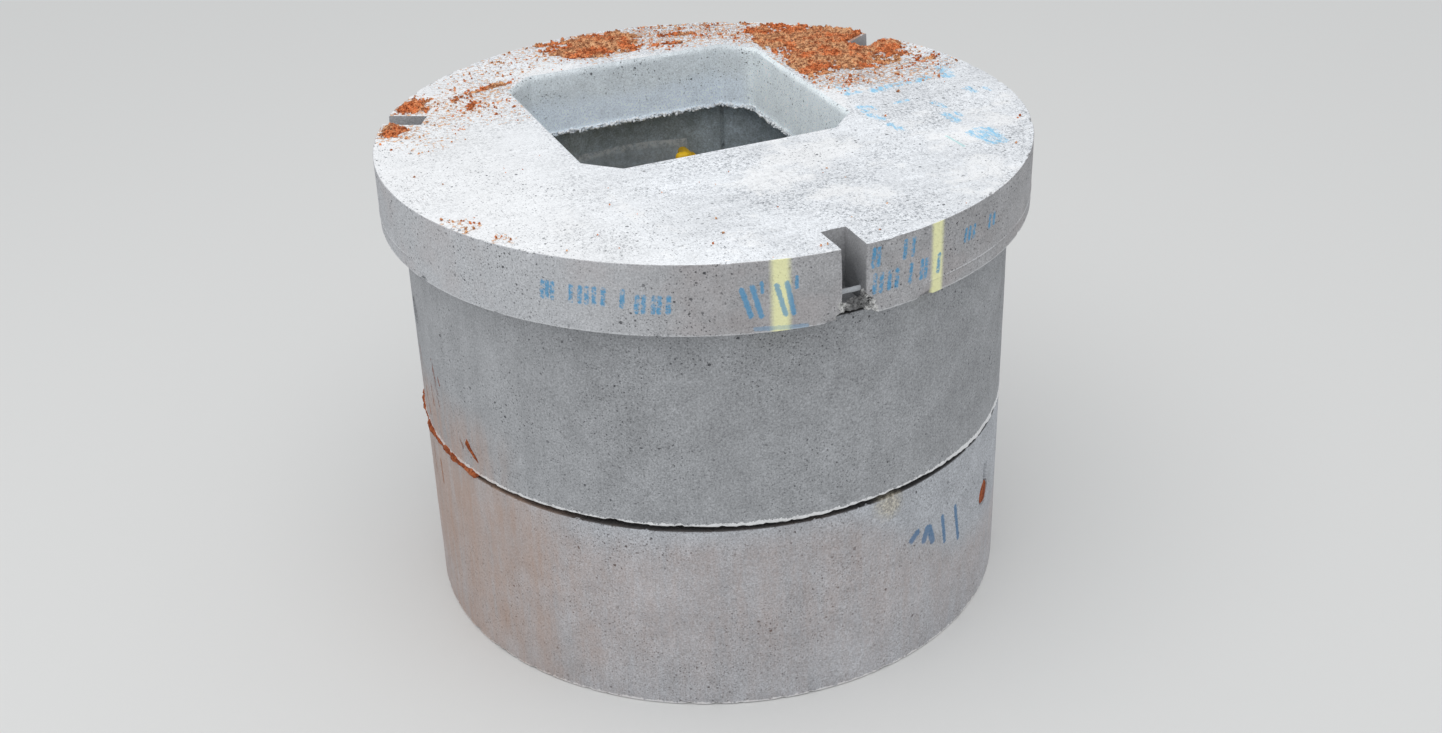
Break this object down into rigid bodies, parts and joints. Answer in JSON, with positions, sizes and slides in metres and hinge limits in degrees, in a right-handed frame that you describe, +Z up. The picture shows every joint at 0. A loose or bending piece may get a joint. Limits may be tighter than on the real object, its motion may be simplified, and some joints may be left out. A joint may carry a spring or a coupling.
{
  "type": "concrete culvert chamber ring set",
  "caption": "Precast concrete chamber rings with tongued joints, lifting holes and steps, under a cover slab with a square access opening and barred lifting notches.",
  "frame": {"origin": "on the rings' axis, at the lowest level of the lower ring's lip", "axes": "+Z up along the rings' axis; +Y towards the steps and the opening's offset; X and Y lie along the opening's sides"},
  "size_m": [1.5598, 1.5593, 1.165],
  "materials": {
    "slab_concrete": "pale smooth cast concrete",
    "ring_concrete": "grey cast concrete",
    "bar_steel": "dull reinforcing steel",
    "step_plastic": "yellow moulded plastic"
  },
  "bodies": {
    "root": {"cover_slab": "slab_concrete", "upper_ring": "ring_concrete", "lower_ring": "ring_concrete", "lifting_bar_1": "bar_steel", "lifting_bar_2": "bar_steel", "lifting_bar_3": "bar_steel", "step_1": "step_plastic", "step_2": "step_plastic", "step_3": "step_plastic", "step_4": "step_plastic"}
  },
  "joints": []
}
